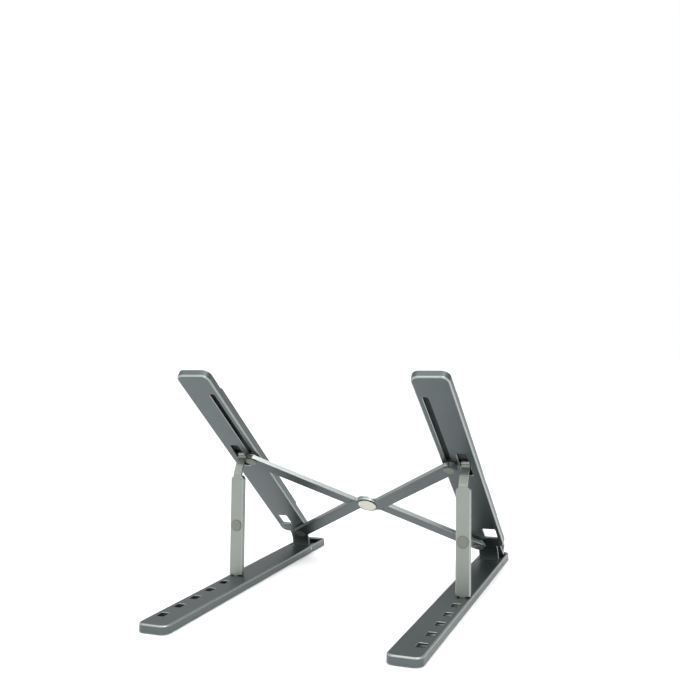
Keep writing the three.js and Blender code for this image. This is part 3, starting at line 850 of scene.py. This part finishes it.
class STAND_OT_finishes(bpy.types.Operator):
    """Make the stand's finishes"""

    bl_idname = "stand.finishes"
    bl_label = "Finishes"

    def execute(self, context):
        colour = context.scene.stand_colours
        # Bead-blasted and anodised aluminium: an even satin with a very fine grit. The real grit is about
        # 0.1 mm, too fine to show, so it is drawn at 0.35 mm.
        # The anodised grey is darkened as painted shade, for the shade and dark reflections under a laptop on
        # the stand.
        new_finish("anodised_aluminium_with_painted_shade", colour.anodised, 1.0, 0.40, 0.05, 0.35 * MM, 0.25)
        # The struts' copy of the anodised grey is painted lighter, for the light falling on their rear faces.
        new_finish("strut_aluminium_painted_light", colour.strut, 1.0, 0.42, 0.05, 0.35 * MM, 0.25)
        # Edges cut after anodising, smoother and brighter than the blasted faces. Their colour is also
        # lightened as a painted highlight along the edges and rims.
        new_finish("cut_edge_and_highlight", colour.cut_edge_and_highlight, 1.0, 0.30, 0.03, 0.5 * MM, 0.05)
        # Nickel-plated rivets with a dull, slightly warm skin.
        new_finish("rivet_nickel", colour.rivet, 0.85, 0.45, 0.06, 0.4 * MM, 0.15)
        new_finish("pale_nickel", colour.centre, 0.6, 0.42, 0.05, 0.4 * MM, 0.1, 0.03)
        # Ground steel pins, bright and smooth.
        new_finish("bright_steel", colour.pin, 1.0, 0.22, 0.04, 0.6 * MM, 0.05)
        # Moulded silicone and rubber: matt, with the faint texture of a spark-eroded mould.
        new_finish("silicone", colour.silicone, 0.0, 0.72, 0.06, 0.6 * MM, 0.3, 0.1)
        new_finish("rubber", colour.rubber, 0.0, 0.80, 0.05, 0.8 * MM, 0.4, 0.1)
        # Natural nylon washers, slightly waxy.
        new_finish("nylon", colour.nylon, 0.0, 0.45, 0.05, 0.5 * MM, 0.1)
        return {"FINISHED"}


# ---- stage ---------------------------------------------------------------------------------------------


class STAND_OT_stage(bpy.types.Operator):
    """Set the pale floor, the soft lights and the camera"""

    bl_idname = "stand.stage"
    bl_label = "Stage"

    CAMERA_PLACE = (-0.2192, 0.5736, 0.1728)
    CAMERA_HEADING = math.radians(-21.29)
    CAMERA_PITCH = math.radians(0.12)
    CAMERA_ROLL = math.radians(-0.59)
    CAMERA_LENS = 46.83

    def execute(self, context):
        self.floor()
        self.world(context)
        self.lights()
        self.camera(context)
        context.scene.view_settings.view_transform = "Standard"
        return {"FINISHED"}

    def floor(self):
        """A wide pale floor under the feet."""
        bpy.ops.object.select_all(action="DESELECT")
        bpy.ops.mesh.primitive_plane_add(size=12, location=(0, 0, 0))
        floor = bpy.context.object
        floor.name = "floor"
        material = bpy.data.materials.new("pale_floor")
        material.use_nodes = True
        shader = material.node_tree.nodes["Principled BSDF"]
        shader.inputs["Base Color"].default_value = (0.9, 0.9, 0.9, 1)
        shader.inputs["Roughness"].default_value = 0.8
        floor.data.materials.append(material)

    def world(self, context):
        """A white room that is brighter above and behind than low in front of the stand."""
        world = bpy.data.worlds.new("studio")
        world.use_nodes = True
        tree = world.node_tree
        sky = tree.nodes["Background"]
        sky.inputs["Color"].default_value = (1.0, 1.0, 1.0, 1.0)
        place = add_node(tree, "ShaderNodeTexCoord").outputs["Generated"]
        axes = add_node(tree, "ShaderNodeSeparateXYZ", links={"Vector": place})
        rise = add_node(tree, "ShaderNodeMath", {"operation": "MULTIPLY_ADD"}, {0: axes.outputs["Z"]})
        rise.inputs[1].default_value = 2.0
        tree.links.new(axes.outputs["Y"], rise.inputs[2])
        steps = add_node(tree, "ShaderNodeMapRange", {"From Min": -0.75, "From Max": 0.9, "To Min": 0.42,
                                                      "To Max": 1.05}, {"Value": rise.outputs[0]})
        seen = add_node(tree, "ShaderNodeLightPath").outputs["Is Camera Ray"]
        level = add_node(tree, "ShaderNodeMix", {"data_type": "FLOAT"}, {0: seen, 2: steps.outputs["Result"]})
        level.inputs[3].default_value = 1.0
        tree.links.new(level.outputs[0], sky.inputs["Strength"])
        context.scene.world = world

    def lights(self):
        """A soft key over the camera's left shoulder, a fill, a top panel and an even light over the floor."""
        for name, place, size, power in (
            ("key", (-1.1, 0.9, 1.3), 1.0, 14),
            ("back", (0.5, 1.6, 1.2), 1.2, 7),
            ("top", (0.0, 0.1, 2.2), 2.4, 6),
        ):
            lamp = bpy.data.lights.new(name, "AREA")
            lamp.size = size
            lamp.energy = power
            lamp_object = bpy.data.objects.new(name, lamp)
            lamp_object.location = place
            aim = Vector((0, 0, 0.07)) - Vector(place)
            lamp_object.rotation_euler = aim.to_track_quat("-Z", "Y").to_euler()
            bpy.context.collection.objects.link(lamp_object)
        even = bpy.data.lights.new("even", "SUN")
        even.energy = 0.9
        even.angle = math.radians(80)
        bpy.context.collection.objects.link(bpy.data.objects.new("even", even))

    def camera(self, context):
        """A camera low behind the stand's left, turned a little."""
        pan, pitch = self.CAMERA_HEADING, self.CAMERA_PITCH
        ahead = Vector((-math.sin(pan) * math.cos(pitch), -math.cos(pan) * math.cos(pitch), math.sin(pitch)))
        side = ahead.cross(Vector((0, 0, 1))).normalized()
        up = side.cross(ahead)
        turn = Matrix((side, up, -ahead)).transposed().to_4x4() @ Matrix.Rotation(self.CAMERA_ROLL, 4, "Z")
        lens = bpy.data.cameras.new("camera")
        lens.lens = self.CAMERA_LENS
        lens.sensor_width = 36
        lens.clip_start = 0.01
        camera = bpy.data.objects.new("camera", lens)
        camera.matrix_world = Matrix.Translation(self.CAMERA_PLACE) @ turn
        bpy.context.collection.objects.link(camera)
        context.scene.camera = camera


# ---- the add-on ----------------------------------------------------------------------------------------

STEPS = (
    STAND_OT_stage,
    STAND_OT_finishes,
    STAND_OT_base_bars,
    STAND_OT_upper_bars,
    STAND_OT_front_hooks,
    STAND_OT_struts,
    STAND_OT_crossed_arms,
    STAND_OT_rivets,
    STAND_OT_pads_and_feet,
)


class STAND_PT_panel(bpy.types.Panel):
    """Lists the steps that build the stand."""

    bl_idname = "STAND_PT_panel"
    bl_label = "Laptop Stand"
    bl_space_type = "VIEW_3D"
    bl_region_type = "UI"
    bl_category = "Laptop Stand"

    def draw(self, context):
        for group in (context.scene.stand_sizes, context.scene.stand_colours):
            for name in group.__annotations__:
                self.layout.prop(group, name)
        for step in STEPS:
            self.layout.operator(step.bl_idname)


CLASSES = (StandSizes, StandColours, *STEPS, STAND_PT_panel)


def register():
    """Registers the add-on's classes and the scene's settings."""
    for cls in CLASSES:
        bpy.utils.register_class(cls)
    bpy.types.Scene.stand_sizes = bpy.props.PointerProperty(type=StandSizes)
    bpy.types.Scene.stand_colours = bpy.props.PointerProperty(type=StandColours)


def unregister():
    """Takes the settings and classes away again."""
    del bpy.types.Scene.stand_colours
    del bpy.types.Scene.stand_sizes
    for cls in reversed(CLASSES):
        bpy.utils.unregister_class(cls)


def main():
    register()
    for step in STEPS:
        group, name = step.bl_idname.split(".")
        getattr(getattr(bpy.ops, group), name)()


if __name__ == "__main__":
    main()
